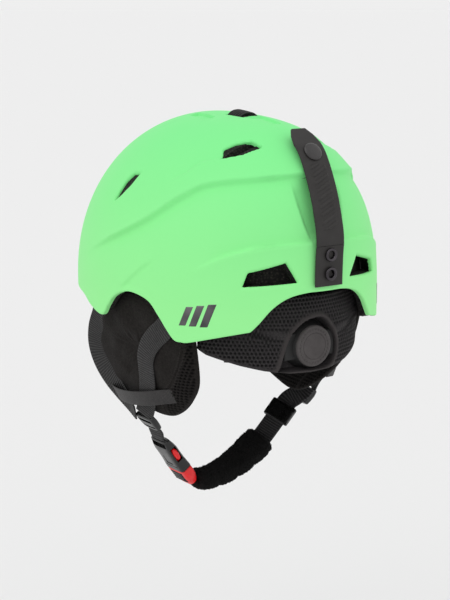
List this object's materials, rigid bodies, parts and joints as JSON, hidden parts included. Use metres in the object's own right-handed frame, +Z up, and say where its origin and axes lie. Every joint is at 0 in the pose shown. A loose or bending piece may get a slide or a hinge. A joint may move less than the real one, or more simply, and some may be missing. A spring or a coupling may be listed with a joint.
{
  "type": "ski helmet",
  "caption": "Vented ski helmet with foam liner, soft ear pads, dial fit system, goggle-band retainer at the rear and a padded quick-release chin strap",
  "frame": {"origin": "centre plane, midway along the shell, level with the lowest edge of the shell at the ear flaps; the head-seat mount", "axes": "+X wearer's left, -Y front, +Z up; the helmet is upright as worn"},
  "size_m": [0.224, 0.2804, 0.3039],
  "materials": {
    "shell_green": "matt in-mould polycarbonate skin",
    "eps_foam": "dark speckled expanded foam",
    "vent_mesh": "black moulded grille",
    "comfort_fabric": "brushed black lining",
    "strap_rubber": "matt dark rubber",
    "dark_metal": "blackened metal",
    "emblem_chrome": "dark chrome film",
    "webbing": "ribbed polyester webbing",
    "elastic": "smooth flat elastic",
    "black_plastic": "moulded acetal, slight gloss",
    "steel_pins": "plain steel",
    "ear_fabric": "brushed black fabric over foam",
    "spacer_mesh": "black 3D spacer mesh",
    "binding_tape": "woven binding tape",
    "fit_plastic": "black nylon",
    "knob_rubber": "soft-touch rubber",
    "buckle_red": "red acetal",
    "fleece": "short black fleece"
  },
  "bodies": {
    "helmet": {"outer_shell": "shell_green", "eps_liner": "eps_foam", "top_vent_grille": "vent_mesh", "brow_pad": "comfort_fabric", "crown_pad": "comfort_fabric", "side_pad_left": "comfort_fabric", "side_pad_right": "comfort_fabric", "goggle_strap_base": "strap_rubber", "goggle_strap_rivets": "dark_metal", "snap_stud": "dark_metal", "side_emblems": "emblem_chrome", "front_strap_left": "webbing", "front_strap_right": "webbing", "rear_strap_left": "webbing", "rear_strap_right": "webbing", "strap_divider_left": "black_plastic", "strap_divider_right": "black_plastic", "strap_anchor_pins": "steel_pins", "temple_pins": "steel_pins", "ear_pad_loop_left": "elastic", "ear_pad_loop_right": "elastic"},
    "goggle_flap": {"goggle_strap_flap": "strap_rubber", "snap_cap": "dark_metal"},
    "ear_left": {"ear_pad_left": "ear_fabric"},
    "ear_right": {"ear_pad_right": "ear_fabric"},
    "fit_belts": {"fit_belt_left": "fit_plastic", "fit_belt_right": "fit_plastic"},
    "cradle": {"cradle_frame": "fit_plastic", "nape_pad": "spacer_mesh", "nape_pad_binding": "binding_tape", "dial_housing": "fit_plastic", "housing_cover": "fit_plastic", "housing_screws": "steel_pins", "detent_spring": "steel_pins"},
    "dial": {"dial_knob": "knob_rubber", "pinion_shaft": "fit_plastic"},
    "rack_upper": {"rack_left": "fit_plastic"},
    "rack_lower": {"rack_right": "fit_plastic"},
    "chin_left": {"lower_strap_left": "webbing", "strap_keeper": "black_plastic", "buckle_female": "black_plastic"},
    "chin_right": {"buckle_male": "buckle_red", "buckle_grips": "black_plastic", "chin_pad": "fleece", "chin_webbing": "webbing", "lower_strap_right": "webbing"},
    "adjuster": {"chin_adjuster": "black_plastic"},
    "prong_rear": {"release_prong_rear": "buckle_red"},
    "prong_front": {"release_prong_front": "buckle_red"}
  },
  "joints": [
    {"name": "goggle_flap_hinge", "type": "hinge", "parent": "helmet", "child": "goggle_flap", "pos_m": [0, 0.141, 0.0745], "axis": [-1, 0, 0], "range_deg": [0, 110], "stiffness_Nm_per_rad": 0.02},
    {"name": "ear_left_flex", "type": "hinge", "parent": "helmet", "child": "ear_left", "pos_m": [0.093, 0.02, 0.028], "axis": [0, 1, 0], "range_deg": [0, 8], "stiffness_Nm_per_rad": 0.5, "deforming": ["ear_pad_loop_left"]},
    {"name": "ear_right_flex", "type": "hinge", "parent": "helmet", "child": "ear_right", "pos_m": [-0.093, 0.02, 0.028], "axis": [0, -1, 0], "range_deg": [0, 8], "stiffness_Nm_per_rad": 0.5, "deforming": ["ear_pad_loop_right"]},
    {"name": "cradle_tilt", "type": "hinge", "parent": "helmet", "child": "fit_belts", "pos_m": [0, -0.048, 0.024], "axis": [1, 0, 0], "range_deg": [-4, 3]},
    {"name": "cradle_slide", "type": "slide", "parent": "fit_belts", "child": "cradle", "axis": [0, -1, 0], "range_m": [0, 0.006], "deforming": ["fit_belt_left", "fit_belt_right"]},
    {"name": "dial_turn", "type": "hinge", "parent": "cradle", "child": "dial", "pos_m": [0, 0.117, -0.0058], "axis": [0, 1, 0], "range_deg": [-75, 0.5]},
    {"name": "rack_upper_slide", "type": "slide", "parent": "cradle", "child": "rack_upper", "axis": [-1, 0, 0], "range_m": [-0.0001, 0.0062]},
    {"name": "rack_lower_slide", "type": "slide", "parent": "cradle", "child": "rack_lower", "axis": [1, 0, 0], "range_m": [-0.0001, 0.0062]},
    {"name": "chin_strap_swing", "type": "hinge", "parent": "helmet", "child": "chin_left", "pos_m": [0, 0.005, -0.075], "axis": [1, 0, 0], "range_deg": [-25, 25]},
    {"name": "buckle_release", "type": "slide", "parent": "chin_left", "child": "chin_right", "axis": [-0.5769, 0, -0.8168], "range_m": [0, 0.022], "deforming": ["lower_strap_right"]},
    {"name": "adjuster_slide", "type": "slide", "parent": "chin_right", "child": "adjuster", "axis": [-0.6872, 0, 0.7265], "range_m": [-0.009, 0.003]},
    {"name": "prong_rear_press", "type": "hinge", "parent": "chin_right", "child": "prong_rear", "pos_m": [0.04458, 0.0132, -0.12567], "axis": [-0.8168, 0, 0.5769], "range_deg": [0, 6], "stiffness_Nm_per_rad": 0.2},
    {"name": "prong_front_press", "type": "hinge", "parent": "chin_right", "child": "prong_front", "pos_m": [0.04458, -0.0032, -0.12567], "axis": [0.8168, 0, -0.5769], "range_deg": [0, 6]}
  ],
  "couplings": [
    {"joint": "dial_turn", "follows": "cradle_slide", "rad_per_m": -208.33},
    {"joint": "rack_upper_slide", "follows": "cradle_slide", "ratio": 1},
    {"joint": "rack_lower_slide", "follows": "cradle_slide", "ratio": 1},
    {"joint": "prong_front_press", "follows": "prong_rear_press", "ratio": 1}
  ]
}
